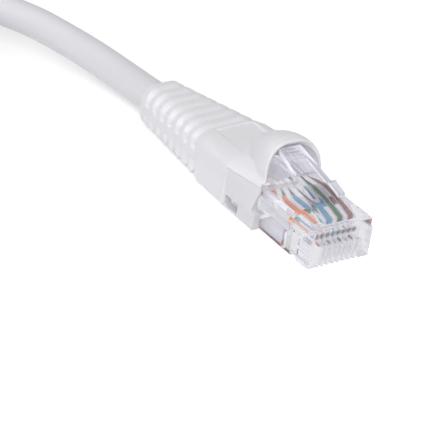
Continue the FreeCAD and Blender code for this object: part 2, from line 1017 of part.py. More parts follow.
inside = axis_path(jacket_start, boot_length).Length
total = coil_path.Length + path_a.Length + path_b.Length + 2 * inside
print(f"cable: {total:.1f} from jacket end to jacket end, coil {coil_path.Length:.1f}")
print("route a:", [tuple(round(c, 1) for c in p) for p in points_a])
print("route b:", [tuple(round(c, 1) for c in p) for p in points_b])

os.makedirs("parts", exist_ok=True)
for node, shape in nodes.items():
    if not shape.isValid():
        print(f"{node} is not valid")
    print(f"{node}: {len(shape.Solids)} solid, {shape.Volume:.2f} mm3")
    shape.exportStep(f"parts/{node}.step")
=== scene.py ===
# %% [markdown]
# # Ethernet patch cable
# This lesson dresses a patch cable that was built as solids first: a clear plug with its latch,
# eight coloured wires inside, a white boot with a ribbed tail and a hood, and a round white cord.
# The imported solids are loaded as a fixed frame, and everything that is made here is in metres and
# in that same frame, so each piece is modelled at its real place.

import math

import bpy
from mathutils import Euler, Matrix, Vector


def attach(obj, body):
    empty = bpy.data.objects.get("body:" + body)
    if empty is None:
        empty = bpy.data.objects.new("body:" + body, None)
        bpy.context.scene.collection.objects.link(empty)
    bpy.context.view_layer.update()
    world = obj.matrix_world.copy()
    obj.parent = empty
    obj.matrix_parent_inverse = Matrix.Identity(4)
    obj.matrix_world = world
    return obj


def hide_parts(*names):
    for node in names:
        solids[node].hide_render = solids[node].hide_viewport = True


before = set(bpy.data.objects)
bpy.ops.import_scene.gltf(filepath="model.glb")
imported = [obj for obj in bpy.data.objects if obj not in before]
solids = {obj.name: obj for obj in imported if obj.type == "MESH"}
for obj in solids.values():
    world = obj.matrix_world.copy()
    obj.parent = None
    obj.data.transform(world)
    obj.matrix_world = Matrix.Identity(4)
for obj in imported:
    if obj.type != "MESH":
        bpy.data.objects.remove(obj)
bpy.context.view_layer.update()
MM = 0.001

# %% [markdown]
# ## Camera
# A product photograph of a small thing is taken from close by, so its near end looks larger than
# its far end. A camera could be set by eye, but its distance matters as much as its lens here, so
# both were worked out from the plug's known size: it stands about 21 cm away, looks down by about
# 30 degrees, and its long lens frames 6 cm.

# %% Place the camera
IMAGE_SIZE = 440
FOCAL_PIXELS = 1400
camera_data = bpy.data.cameras.new("camera")
camera_data.sensor_width = 36.0
camera_data.lens = FOCAL_PIXELS / IMAGE_SIZE * camera_data.sensor_width
camera_data.clip_start = 0.01
camera_data.clip_end = 20.0
camera = bpy.data.objects.new("camera", camera_data)
bpy.context.scene.collection.objects.link(camera)
camera.location = Vector((136.615, -123.306, 108.265)) * MM
camera.rotation_euler = Euler([math.radians(a) for a in (60.220, -6.787, 57.604)])
bpy.context.scene.camera = camera
print("lens", round(camera_data.lens, 1), "mm")

# %% [markdown]
# ## The cord
# The cord is 1 m of round cable, and only its first few centimetres are in the picture. The rest
# is put away as a tied coil of two layers, just outside the view. It could be a mesh tube, but a
# curve with a round bevel is how a cord is best made: one smooth NURBS line, whose control points
# pull it along without sharp corners. The line runs a little inside its control points, so the
# coil's points are set out by a few percent to keep the turns at their real radius.

# %% Points of the cord's line
CABLE_DIAMETER = 6.0
POINTS_PER_TURN = 16
COIL_MIDDLE = Vector((-85.0, -61.5, 0.0))
COIL_START = math.radians(135.0)
TURN_STEP = CABLE_DIAMETER + 0.5
INNER_RADIUS = 21.7
LOWER_LAYER = 3.75
TURNS_IN, TURNS_OUT = 2.0, 2.375
OUTWARD = 1 / (1 - 0.25 * (1 - math.cos(math.tau / POINTS_PER_TURN)))

from_boot_a = [(-44.0, -1.7, 4.1), (-50.5, -2.4, 4.1), (-58.5, -3.1, 4.1), (-72.0, -5.9, 5.3)]
from_boot_a += [(-87.5, -13.8, 8.2)]
to_boot_b = [(-72.0, -99.1, 3.8), (-59.0, -96.8, 4.1), (-52.0, -96.2, 4.1), (-45.5, -95.5, 4.1)]


def ramp(value, start, length):
    """0 before the start, 1 once this length is past, and a straight rise between them."""
    return min(max((value - start) / length, 0.0), 1.0)


def softened(share):
    """The same rise with soft ends."""
    return share * share * (3 - 2 * share)


def coil_point(turn):
    """Middle of the cord at this turn: turns below 0 wind inwards on top, above 0 outwards."""
    angle = COIL_START + math.tau * (turn + TURNS_IN)
    radius = (INNER_RADIUS + TURN_STEP * abs(turn)) * OUTWARD
    height = LOWER_LAYER + TURN_STEP * (1 - softened(ramp(turn, -0.25, 0.5)))
    return COIL_MIDDLE + Vector((radius * math.cos(angle), radius * math.sin(angle), height))


steps = round((TURNS_IN + TURNS_OUT) * POINTS_PER_TURN)
coil_points = [coil_point(-TURNS_IN + k / POINTS_PER_TURN) for k in range(steps + 1)]
line_points = [Vector(p) for p in from_boot_a] + coil_points + [Vector(p) for p in to_boot_b]
print(len(line_points), "control points,", len(coil_points), "of them in the coil")

# %% Make the cord
cord_data = bpy.data.curves.new("cord", "CURVE")
cord_data.dimensions = "3D"
cord_data.bevel_depth = 1.0
cord_data.bevel_resolution = 10
cord_data.resolution_u = 10
cord_data.use_fill_caps = True
line = cord_data.splines.new("NURBS")
line.points.add(len(line_points) - 1)
for control, place in zip(line.points, line_points):
    control.co = (*(place * MM), 1.0)
    control.radius = CABLE_DIAMETER / 2 * MM
line.order_u = 3
line.use_endpoint_u = True
cord = bpy.data.objects.new("cord", cord_data)
bpy.context.scene.collection.objects.link(cord)
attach(cord, "cable")
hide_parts("cable_stretch_a", "cable_coil", "cable_stretch_b")
print("cord made along", len(line.points), "points")

# %% [markdown]
# ## Helpers for materials
# Colours are noted as sRGB hex values, as a colour picker gives them, and Blender mixes light in
# linear values, so one function turns the first into the second. Another adds a shader node with
# its settings and links. The nodes could be placed by hand in the editor, but written down they
# can be read and made again, so every material below is built from these few functions.

# %% Helpers for colour and nodes


def linear(hex_code):
    """Linear RGBA of an sRGB hex colour."""
    shares = [int(hex_code[k:k + 2], 16) / 255 for k in (0, 2, 4)]
    return (*(s / 12.92 if s <= 0.04045 else ((s + 0.055) / 1.055) ** 2.4 for s in shares), 1.0)


def add_node(owner, kind, settings=None, inputs=None):
    """Add a node. An input is linked if it is another node's socket, and otherwise set."""
    made = owner.node_tree.nodes.new(kind)
    for name, value in (settings or {}).items():
        setattr(made, name, value)
    for name, value in (inputs or {}).items():
        if isinstance(value, bpy.types.NodeSocket):
            owner.node_tree.links.new(value, made.inputs[name])
        else:
            made.inputs[name].default_value = value
    return made


def new_material(name, inputs):
    """A material with its surface shader set, its output and the object's own coordinates."""
    material = bpy.data.materials.new(name)
    material.use_nodes = True
    material.node_tree.nodes.clear()
    surface = add_node(material, "ShaderNodeBsdfPrincipled", inputs=inputs)
    out = add_node(material, "ShaderNodeOutputMaterial", inputs={"Surface": surface.outputs[0]})
    place = add_node(material, "ShaderNodeTexCoord").outputs["Object"]
    return material, surface, place, out


print("white is", linear("FFFFFF"))

# %% [markdown]
# ## Helpers for a clear plug
# Clear plastic passes light on and round inside it, so what lies in it looks lit from all sides.
# Following all of that light takes very many samples. Instead, whatever is seen through the
# plastic or mirrored in it gets a painted glow: a little light of its own, given only to such rays.
# Plug B wears the same materials as plug A, so a pattern along the plug is measured from its own
# nose.

# %% Helpers for what is seen through clear plastic
SHIFT_B = Vector((-1.5, -93.8, 0.0)) * MM


def bent_or_mirrored(owner):
    """Socket that is 1 for a ray that clear plastic has bent or mirrored, else 0."""
    ray = add_node(owner, "ShaderNodeLightPath")
    return add_node(owner, "ShaderNodeMath", {"operation": "MAXIMUM"}, {
        0: ray.outputs["Is Glossy Ray"], 1: ray.outputs["Is Transmission Ray"]}).outputs[0]


def painted_glow_seen_through(material, surface, colour, level):
    """Give what is seen through clear plastic a painted glow, light of its own in this colour."""
    amount = add_node(material, "ShaderNodeMath", {"operation": "MULTIPLY"}, {
        0: bent_or_mirrored(material), 1: level})
    surface.inputs["Emission Color"].default_value = linear(colour)
    material.node_tree.links.new(amount.outputs[0], surface.inputs["Emission Strength"])


def from_nose(material, place):
    """Socket with X as measured on plug A, also for the same material on plug B."""
    axes = add_node(material, "ShaderNodeSeparateXYZ", inputs={"Vector": place})
    on_b = add_node(material, "ShaderNodeMath", {"operation": "LESS_THAN"}, {
        0: axes.outputs["Y"], 1: SHIFT_B.y / 2})
    return add_node(material, "ShaderNodeMath", {"operation": "MULTIPLY_ADD"}, {
        0: on_b.outputs[0], 1: -SHIFT_B.x, 2: axes.outputs["X"]}).outputs[0]


print("plug B lies", round(SHIFT_B.length / MM, 1), "mm from plug A")

# %% [markdown]
# ## The table
# A small white thing is photographed on a pale table. The floor could be left out, and the object
# would float on white without a shadow, so a wide plain floor takes the shadow. It gets a little
# light of its own where the camera looks at it, more of it far away, so that it stays white up to
# its edge, as a lit backdrop does. Rays that the clear plastic bends or mirrors meet plain white.

# %% Make the floor
FLOOR_SIZE, FLOOR_MIDDLE = 6.0, (-0.05, -0.05, -0.0002)
LIFT_NEAR, LIFT_FAR = 0.3, 0.68
LIFT_FROM, LIFT_TO = 0.3, 1.5
bpy.ops.object.select_all(action="DESELECT")
bpy.ops.mesh.primitive_plane_add(size=FLOOR_SIZE, location=FLOOR_MIDDLE)
floor = bpy.context.object
floor.name = "floor"
floor_paint, floor_shader, floor_place, floor_out = new_material(
    "matt white table", {"Base Color": linear("FBFBFB"), "Roughness": 0.9, "IOR": 1.45})
ray = add_node(floor_paint, "ShaderNodeLightPath")
away = add_node(floor_paint, "ShaderNodeVectorMath", {"operation": "LENGTH"}, {0: floor_place})
farther = add_node(floor_paint, "ShaderNodeMapRange", inputs={
    "Value": away.outputs["Value"], "From Min": LIFT_FROM, "From Max": LIFT_TO,
    "To Min": LIFT_NEAR, "To Max": LIFT_FAR})
lift = add_node(floor_paint, "ShaderNodeMath", {"operation": "MULTIPLY"}, {
    0: ray.outputs["Is Camera Ray"], 1: farther.outputs[0]})
direct = add_node(floor_paint, "ShaderNodeEmission", inputs={"Strength": lift.outputs[0]})
lifted = add_node(floor_paint, "ShaderNodeAddShader", inputs={
    0: floor_shader.outputs[0], 1: direct.outputs[0]})
glow = add_node(floor_paint, "ShaderNodeEmission", inputs={"Strength": 1.0})
mixed = add_node(floor_paint, "ShaderNodeMixShader", inputs={
    0: bent_or_mirrored(floor_paint), 1: lifted.outputs[0], 2: glow.outputs[0]})
floor_paint.node_tree.links.new(mixed.outputs[0], floor_out.inputs["Surface"])
floor.data.materials.append(floor_paint)
print("floor at", round(floor.location.z / MM, 1), "mm")

# %% [markdown]
# ## The light
# The photograph's light is soft. The white surround gives about a third of it, a large lamp in
# front, to the right and about 40 degrees up, gives the most, and a wide one overhead lifts the
# top faces. Surround alone would leave the ribs flat, and a small lamp would give hard shadows
# that the photograph doesn't have. The surround is plain white where the camera sees it.

# %% Make the surround
AROUND, MIRRORED = 0.288, 0.8
world = bpy.data.worlds.new("white surround")
bpy.context.scene.world = world
world.use_nodes = True
world.node_tree.nodes.clear()
ray = add_node(world, "ShaderNodeLightPath")
level = add_node(world, "ShaderNodeMapRange", inputs={
    "Value": bent_or_mirrored(world), "To Min": AROUND, "To Max": MIRRORED})
shown = add_node(world, "ShaderNodeMath", {"operation": "MAXIMUM"}, {
    0: level.outputs[0], 1: ray.outputs["Is Camera Ray"]})
around = add_node(world, "ShaderNodeBackground", inputs={
    "Color": linear("FFFFFF"), "Strength": shown.outputs[0]})
add_node(world, "ShaderNodeOutputWorld", inputs={"Surface": around.outputs[0]})
print(world.name, "at strength", AROUND)

# %% Hang the lamps
LAMP_POWER, TOP_POWER = 5.75, 2.0
LIT_SPOT = Vector((-0.03, 0.0, 0.0))


def soft_lamp(name, place, size, power):
    """A square lamp of this size in metres, turned towards the boot."""
    data = bpy.data.lights.new(name, "AREA")
    data.size = size
    data.energy = power
    lamp = bpy.data.objects.new(name, data)
    bpy.context.scene.collection.objects.link(lamp)
    lamp.location = place
    aim = LIT_SPOT - Vector(place)
    lamp.rotation_euler = aim.to_track_quat("-Z", "Y").to_euler()


soft_lamp("soft box", (0.45, -0.56, 0.58), 0.6, LAMP_POWER)
soft_lamp("top light", (-0.03, 0.02, 0.9), 0.9, TOP_POWER)
bpy.context.scene.view_settings.view_transform = "Standard"
print("lamps of", LAMP_POWER, "and", TOP_POWER, "W")

# %% [markdown]
# ## Clear polycarbonate
# The plug, its latch and the wire guide are moulded in clear polycarbonate. It bends light
# strongly, which gives the plug its bright and dark edges. The mould is polished over the wires,
# and a little hazy at the nose and at the rear, and its faces sink in by faint waves 2 mm long.
# A pure glass shader would follow a ray through every wall, and most rays would end in black. So
# a ray is bent by two surfaces at most, or by one on the thin latch, and then goes straight on.
# Shadow and diffuse rays go straight on at once, so that light gets in. Polycarbonate's own IOR is
# 1.58, and 1.4 came closest to the photograph.

# %% Clear plastic
CLEAR_MIDDLE, CLEAR_HALF, HAZE_LENGTH = 7.2, 4.6, 2.0
POLISHED, HAZY = 0.04, 0.2
SINK_SIZE, SINK_DEPTH = 2.0, 0.05


def clear_plastic(name, bends):
    """Clear plastic that bends a view this often, and then lets it pass straight on."""
    material, surface, place, out = new_material(name, {
        "Base Color": linear("DDDDE1"), "IOR": 1.4, "Transmission Weight": 0.95})
    ripple = add_node(material, "ShaderNodeTexNoise", inputs={
        "Vector": place, "Scale": 1 / (SINK_SIZE * MM), "Detail": 2.0})
    dent = add_node(material, "ShaderNodeBump", inputs={
        "Height": ripple.outputs["Fac"], "Strength": 0.1, "Distance": SINK_DEPTH * MM})
    material.node_tree.links.new(dent.outputs[0], surface.inputs["Normal"])
    from_clear = add_node(material, "ShaderNodeMath", {"operation": "ADD"}, {
        0: from_nose(material, place), 1: CLEAR_MIDDLE * MM})
    distance = add_node(material, "ShaderNodeMath", {"operation": "ABSOLUTE"}, {
        0: from_clear.outputs[0]})
    haze = add_node(material, "ShaderNodeMapRange", inputs={
        "Value": distance.outputs[0], "From Min": CLEAR_HALF * MM,
        "From Max": (CLEAR_HALF + HAZE_LENGTH) * MM, "To Min": POLISHED, "To Max": HAZY})
    material.node_tree.links.new(haze.outputs[0], surface.inputs["Roughness"])
    ray = add_node(material, "ShaderNodeLightPath")
    deep = add_node(material, "ShaderNodeMath", {"operation": "GREATER_THAN"}, {
        0: ray.outputs["Ray Depth"], 1: bends - 0.5})
    lighting = add_node(material, "ShaderNodeMath", {"operation": "MAXIMUM"}, {
        0: ray.outputs["Is Shadow Ray"], 1: ray.outputs["Is Diffuse Ray"]})
    passing = add_node(material, "ShaderNodeMath", {"operation": "MAXIMUM"}, {
        0: lighting.outputs[0], 1: deep.outputs[0]})
    straight = add_node(material, "ShaderNodeBsdfTransparent", inputs={
        "Color": linear("FAFAFC")})
    mixed = add_node(material, "ShaderNodeMixShader", inputs={
        0: passing.outputs[0], 1: surface.outputs[0], 2: straight.outputs[0]})
    material.node_tree.links.new(mixed.outputs[0], out.inputs["Surface"])
    return material


polycarbonate = clear_plastic("clear moulded polycarbonate", 2)
latch_plastic = clear_plastic("thin clear polycarbonate", 1)
print(polycarbonate.name, "and", latch_plastic.name)

# %% [markdown]
# ## White PVC
# Boot and jacket are soft PVC, and light goes half a millimetre into it. The boot's mould is
# spark eroded, which leaves a satin grain, and the jacket is extruded, smoother and a shade
# darker. The tie is a nylon band brushed to a soft nap, so it is dull. Their grain could be
# modelled, but it is far too small for that, so noise drives a bump. The real grain is under
# 0.1 mm, too fine to show here, so it is drawn as coarse as it needs to show.

# %% Boot, jacket and tie plastic
# The skirts' white is a painted shade of the boot's white.
BOOT_WHITE, SKIRT_PAINTED_SHADE_WHITE, JACKET_WHITE, TIE_WHITE = "E4E3E7", "D9D8DD", "DBDADF", "D9D9DC"
# Painted glow: how brightly white plastic gives off light of its own when seen through the plug.
WHITE_PAINTED_GLOW = 0.68


def grained(name, colour, roughness, grain, depth):
    """Plastic with a fine grain of this size and depth in millimetres."""
    material, surface, place, _ = new_material(name, {
        "Base Color": linear(colour), "Roughness": roughness, "IOR": 1.53,
        "Subsurface Weight": 0.12, "Subsurface Radius": (0.6, 0.6, 0.6), "Subsurface Scale": MM})
    grit = add_node(material, "ShaderNodeTexNoise", inputs={
        "Vector": place, "Scale": 1000.0 / grain, "Detail": 3.0})
    relief = add_node(material, "ShaderNodeBump", inputs={
        "Height": grit.outputs["Fac"], "Strength": 0.4, "Distance": depth * MM})
    material.node_tree.links.new(relief.outputs[0], surface.inputs["Normal"])
    # Painted glow: seen through clear plastic, this plastic gives off light of its own colour.
    painted_glow_seen_through(material, surface, colour, WHITE_PAINTED_GLOW)
    return material, surface, place, relief


boot_pvc, boot_surface, boot_place, boot_relief = grained(
    "moulded white PVC", BOOT_WHITE, 0.45, 0.35, 0.02)
jacket_pvc = grained("extruded white PVC", JACKET_WHITE, 0.38, 0.8, 0.015)[0]
tie_nylon = grained("brushed nylon", TIE_WHITE, 0.6, 0.4, 0.05)[0]
cord.data.materials.append(jacket_pvc)
print(boot_pvc.name, jacket_pvc.name, tie_nylon.name)

# %% [markdown]
# ## Two marks on the boot
# The mould's halves meet in a line round the boot. At the plug its thin skirts get a painted
# shade, a darker white for the light they lose to the clear plug behind them and the shade under
# the boot's step. The line could be a cut in the mesh, but it is a tenth of a millimetre wide, so
# a bump follows the height of each point. The skirts are marked on the mesh itself, in an
# attribute that is written once the boot is made.

# %% Parting line and thin skirts
PARTING_HEIGHT, PARTING_WIDTH, PARTING_DEPTH = 4.85, 0.12, 0.04
boot_up = add_node(boot_pvc, "ShaderNodeSeparateXYZ", inputs={"Vector": boot_place})
on_line = add_node(boot_pvc, "ShaderNodeMath", {"operation": "COMPARE"}, {
    0: boot_up.outputs["Z"], 1: PARTING_HEIGHT * MM, 2: PARTING_WIDTH / 2 * MM})
seam = add_node(boot_pvc, "ShaderNodeBump", {"invert": True}, {
    "Height": on_line.outputs[0], "Strength": 0.6, "Distance": PARTING_DEPTH * MM})
boot_pvc.node_tree.links.new(seam.outputs[0], boot_relief.inputs["Normal"])
# Painted shade: the points marked thin, on the skirts, get the darker white.
thin = add_node(boot_pvc, "ShaderNodeAttribute", {"attribute_name": "thin"})
painted_skirt_shade = add_node(boot_pvc, "ShaderNodeMix", {"data_type": "RGBA"}, {
    "Factor": thin.outputs["Fac"], "A": linear(BOOT_WHITE), "B": linear(SKIRT_PAINTED_SHADE_WHITE)})
boot_pvc.node_tree.links.new(painted_skirt_shade.outputs["Result"], boot_surface.inputs["Base Color"])
print("parting line at", PARTING_HEIGHT, "mm")

# %% [markdown]
# ## Metals and cut ends
# The cores are drawn copper, warm and shiny, and the blades phosphor bronze with a pale nickel
# plating. The plating is only partly metallic here, since a full mirror would turn black deep in
# the plug. Each wire is cut off square under the blades, in its channel, whose shade makes its end
# look dark through the plug's nose. The ends could be faces with a material of their own, but the
# solids stay as they are, so a painted shade turns a material grey past the place of the cut.

# %% Copper and plating
CUT_END = 3.23
# Painted shade: the grey of a cut end, for the shade of its blind channel.
CUT_PAINTED_SHADE = "8C8B90"
# Painted glow of the wires and blades, seen through the clear plug.
INSIDE_PAINTED_GLOW = 0.35


def paint_shade_past_cut(material, surface, place, colour):
    """Give the surface this colour, a value or a socket, but a painted grey shade past a cut."""
    at_end = add_node(material, "ShaderNodeMath", {"operation": "GREATER_THAN"}, {
        0: from_nose(material, place), 1: -CUT_END * MM})
    # Painted shade: past the cut the colour turns to the grey.
    painted_cut_shade = add_node(material, "ShaderNodeMix", {"data_type": "RGBA"}, {
        "Factor": at_end.outputs[0], "A": colour, "B": linear(CUT_PAINTED_SHADE)})
    for socket in ("Base Color", "Emission Color"):
        material.node_tree.links.new(painted_cut_shade.outputs["Result"], surface.inputs[socket])


copper, surface, place, _ = new_material("drawn copper", {"Metallic": 1.0, "Roughness": 0.3})
paint_shade_past_cut(copper, surface, place, linear("D9906C"))
plating, surface, _, _ = new_material("nickel plated bronze", {
    "Base Color": linear("F2F1F0"), "Metallic": 0.6, "Roughness": 0.45})
# Painted glow of the plating, seen through the clear plug.
painted_glow_seen_through(plating, surface, "E4E3E7", INSIDE_PAINTED_GLOW)
print(copper.name, "and", plating.name)

# %% [markdown]
# ## Wire insulation
# The insulation is extruded polyethylene, smooth and a little waxy. One wire of each pair has the
# pair's colour, and the other is white with a ring of that colour every 14 mm. Rings could be
# separate pieces, but they are only ink, so a wave along the wire tints them.

# %% Insulation colours
WIRE_COLOURS = {"orange": "F28C58", "green": "587F5C", "blue": "6CA8C6", "brown": "A0766A"}
WIRE_WHITE = "F1EFEC"
RING_PERIOD, RING_WIDTH = 14.0, 1.6


def insulated(name, body, ring):
    """Wire insulation of one colour, with rings of another, and painted shade where it is cut."""
    material, surface, place, _ = new_material(name, {"Roughness": 0.35, "IOR": 1.51})
    share = add_node(material, "ShaderNodeMath", {"operation": "PINGPONG"}, {
        0: from_nose(material, place), 1: RING_PERIOD / 2 * MM})
    in_ring = add_node(material, "ShaderNodeMath", {"operation": "GREATER_THAN"}, {
        0: share.outputs[0], 1: (RING_PERIOD - RING_WIDTH) / 2 * MM})
    tint = add_node(material, "ShaderNodeMix", {"data_type": "RGBA"}, {
        "Factor": in_ring.outputs[0], "A": linear(body), "B": linear(ring)})
    # Painted glow of the insulation, seen through the clear plug.
    painted_glow_seen_through(material, surface, body, INSIDE_PAINTED_GLOW)
    paint_shade_past_cut(material, surface, place, tint.outputs["Result"])
    return material


insulation = {}
for pair, colour in WIRE_COLOURS.items():
    insulation[pair] = insulated(pair + " polyethylene", colour, colour)
    insulation["white_" + pair] = insulated(
        "white and " + pair + " polyethylene", WIRE_WHITE, colour)
print(sorted(insulation))

# %% [markdown]
# ## Finishes on the solids
# Plug, wires, blades and cores stay as the solids made them, so each gets its finish here. They
# could be dressed one by one, but their names already say what they are.

# %% Give each solid its finish
finish_of = {"plug_housing": polycarbonate, "load_bar": polycarbonate, "latch": latch_plastic,
             "boot": boot_pvc, "latch_hood": boot_pvc, "copper_cores": copper}
for name, solid in solids.items():
    stem = name[:-2]
    if stem.startswith("contact"):
        finish = plating
    elif stem.startswith("wire_"):
        finish = insulation[stem.removeprefix("wire_")]
    elif name == "coil_tie":
        finish = tie_nylon
    else:
        finish = finish_of.get(stem, jacket_pvc)
    solid.data.materials.clear()
    solid.data.materials.append(finish)
print(len(solids), "solids dressed")

# %% [markdown]
# ## Helpers for pieces
# A new piece starts from one primitive with everything else deselected, and is then shaped in edit
# mode. A tube whose outline changes on its way could be shaped by hand with many loops, but it is
# drawn more exactly: a circle is extruded ring by ring, and each point is then put in its place. A
# finished piece rides on a body of the frame and hides the solids it stands for. Plug B is the
# same as plug A, so each piece is modelled once, and its copy is moved over.

# %% Helpers for any piece
MERGE_WITHIN = 0.001


def only(*objects):
    """Select these objects and nothing else, the last one active."""
    bpy.ops.object.select_all(action="DESELECT")
    for each in objects:
        each.select_set(True)
        bpy.context.view_layer.objects.active = each


def merged_copy(node):
    """A copy of a solid with its loose triangles joined, to be worked on."""
    copy = bpy.data.objects.new(node + " copy", solids[node].data.copy())
    bpy.context.scene.collection.objects.link(copy)
    only(copy)
    bpy.ops.object.mode_set(mode="EDIT")
    bpy.ops.mesh.select_all(action="SELECT")
    bpy.ops.mesh.remove_doubles(threshold=MERGE_WITHIN * MM)
    bpy.ops.object.mode_set(mode="OBJECT")
    return copy


def modify(piece, kind, **settings):
    """Add a modifier with these settings and apply it."""
    only(piece)
    modifier = piece.modifiers.new(kind.lower(), kind)
    for name, value in settings.items():
        setattr(modifier, name, value)
    bpy.ops.object.modifier_apply(modifier=modifier.name)


def finish_pair(piece, name, material, stems):
    """Name the piece, put its place in its mesh, and copy it to plug B. Both ride on the cable."""
    only(piece)
    bpy.ops.object.transform_apply(location=True, rotation=True, scale=True)
    piece.data.materials.clear()
    piece.data.materials.append(material)
    twin = bpy.data.objects.new(name + "_b", piece.data.copy())
    twin.data.transform(Matrix.Translation(SHIFT_B))
    bpy.context.scene.collection.objects.link(twin)
    piece.name = name + "_a"
    for each, end in ((piece, "_a"), (twin, "_b")):
        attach(each, "cable")
        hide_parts(*[stem + end for stem in stems])
    print(name, len(piece.data.polygons), "faces each")


print("plug B's pieces are moved by", [round(shift / MM, 1) for shift in SHIFT_B], "mm")

# %% Helpers for drawn tubes


def new_circle(around):
    """A circle of 1 mm radius that stands across the X axis, active and with its turn applied."""
    bpy.ops.object.select_all(action="DESELECT")
    bpy.ops.mesh.primitive_circle_add(
        vertices=around, radius=MM, location=(0, 0, 0), rotation=(0, math.radians(90), 0))
    bpy.ops.object.transform_apply(location=False, rotation=True, scale=True)
    return bpy.context.object


def drawn(around, rings, place, closing):
    """A tube drawn ring by ring. Each point is put in place by its ring and its share of a turn."""
    tube = new_circle(around)
    bpy.ops.object.mode_set(mode="EDIT")
    bpy.ops.mesh.select_all(action="SELECT")
    for _ in range(rings - 1):
        bpy.ops.mesh.extrude_region_move(TRANSFORM_OT_translate={"value": (MM, 0, 0)})
    bpy.ops.object.mode_set(mode="OBJECT")
    for point in tube.data.vertices:
        share = math.atan2(point.co.y, -point.co.z) / math.tau
        point.co = place(round(point.co.x / MM), share)
    only(tube)
    bpy.ops.object.mode_set(mode="EDIT")
    bpy.ops.mesh.select_all(action="DESELECT")
    bpy.ops.mesh.select_non_manifold()
    if closing == "bridge":
        bpy.ops.mesh.bridge_edge_loops()
    else:
        bpy.ops.mesh.fill_holes(sides=0)
    bpy.ops.mesh.select_all(action="SELECT")
    bpy.ops.mesh.normals_make_consistent(inside=False)
    bpy.ops.object.mode_set(mode="OBJECT")
    return tube


def squarer(value, power):
    """A sine or cosine at a power below 1, which turns an ellipse into a rounded box."""
    return math.copysign(abs(value) ** power, value)


print("squared off, a half becomes", round(squarer(0.5, 0.5), 3))

# %% [markdown]
# ## The hood
# The hood keeps the latch from snagging when the cable is pulled out of a bundle. It is a scoop
# with a thin lip and a squared arch, highest over the latch's tip and running down into the boot's
# top. It could be carved from a block, but a bent sheet is the nearest thing to it. So half a
# circle is squared off, drawn back in steps with its own width and height, and leaned back at its
# mouth. Then it gets a wall, which thins towards the foot.

# %% Draw half a circle and square it off
HOOD_FRONT, HOOD_LENGTH, HOOD_FOOT = 13.9, 10.8, 8.0
HOOD_HALF_WIDTH, HOOD_RISE = 5.35, 5.1
HOOD_POINTS, HOOD_SQUARENESS = 48, 2.5
hood = new_circle(HOOD_POINTS)
bpy.ops.object.mode_set(mode="EDIT")
bpy.ops.mesh.select_all(action="SELECT")
bpy.ops.mesh.bisect(plane_co=(0, 0, 0), plane_no=(0, 0, 1), clear_inner=True)
bpy.ops.object.mode_set(mode="OBJECT")
for point in hood.data.vertices:
    across, up = point.co.y / MM, point.co.z / MM
    point.co.y = squarer(across, 2 / HOOD_SQUARENESS) * MM
    point.co.z = squarer(max(up, 0.0), 2 / HOOD_SQUARENESS) * MM
print("hood's mouth has", len(hood.data.vertices), "points")

# %% Draw it back in steps, each a share of the way back, of the width and of the height
HOOD_STEPS = [(0.0, 1.0, 1.0), (0.1, 0.99, 1.06), (0.22, 0.95, 1.09), (0.34, 0.87, 1.07),
              (0.48, 0.77, 0.99), (0.62, 0.66, 0.85), (0.76, 0.51, 0.63), (0.89, 0.32, 0.36),
              (1.0, 0.1, 0.1)]
bpy.ops.object.mode_set(mode="EDIT")
bpy.ops.mesh.select_all(action="SELECT")
bpy.ops.transform.resize(value=(1, HOOD_HALF_WIDTH, HOOD_RISE), center_override=(0, 0, 0))
bpy.ops.transform.translate(value=(-HOOD_FRONT * MM, 0, HOOD_FOOT * MM))
for before, step in zip(HOOD_STEPS, HOOD_STEPS[1:]):
    back = -(step[0] - before[0]) * HOOD_LENGTH * MM
    bpy.ops.mesh.extrude_region_move(TRANSFORM_OT_translate={"value": (back, 0, 0)})
    bpy.ops.transform.resize(value=(1, step[1] / before[1], step[2] / before[2]),
                             center_override=(0, 0, HOOD_FOOT * MM))
bpy.ops.mesh.edge_face_add()
bpy.ops.mesh.select_all(action="SELECT")
bpy.ops.mesh.normals_make_consistent(inside=False)
bpy.ops.object.mode_set(mode="OBJECT")
print("hood sheet", len(hood.data.polygons), "faces")

# %% Lean its mouth back
MOUTH_LEAN, LEAN_CURVE, LEAN_BEHIND, MOUTH_DEPTH = 1.05, 1.3, 0.25, 0.5


def hood_height(point):
    """Height over the hood's foot: 0 there, and 1 at the top of its mouth."""
    return max(0.0, (point.co.z / MM - HOOD_FOOT) / HOOD_RISE)


for point in hood.data.vertices:
    at_mouth = point.co.x > -(HOOD_FRONT + MOUTH_DEPTH) * MM
    point.co.x -= MOUTH_LEAN * MM * hood_height(point) ** LEAN_CURVE * (
        1.0 if at_mouth else LEAN_BEHIND)
print("hood leans back by", MOUTH_LEAN, "mm")

# %% Give it walls and carry them down into the boot
HOOD_WALL, WALL_AT_FOOT, WALL_GAIN, WALL_CURVE = 0.9, 0.42, 0.58, 1.5
FOOT_ZONE, FOOT_DROP, FACES_DOWN = 0.3, 0.9, -0.9
wall = hood.vertex_groups.new(name="wall")
for point in hood.data.vertices:
    thickness = WALL_AT_FOOT + WALL_GAIN * hood_height(point) ** WALL_CURVE
    wall.add([point.index], thickness, "REPLACE")
modify(hood, "SOLIDIFY", thickness=HOOD_WALL * MM, offset=-1.0, vertex_group="wall",
       use_even_offset=True)
bpy.ops.object.mode_set(mode="EDIT")
bpy.ops.mesh.select_all(action="DESELECT")
bpy.ops.object.mode_set(mode="OBJECT")
for face in hood.data.polygons:
    low = face.center.z < (HOOD_FOOT + FOOT_ZONE) * MM
    face.select = low and face.normal.z < FACES_DOWN
bpy.ops.object.mode_set(mode="EDIT")
bpy.ops.mesh.extrude_region_move(TRANSFORM_OT_translate={"value": (0, 0, -FOOT_DROP * MM)})
bpy.ops.object.mode_set(mode="OBJECT")
print("hood with walls", len(hood.data.polygons), "faces")

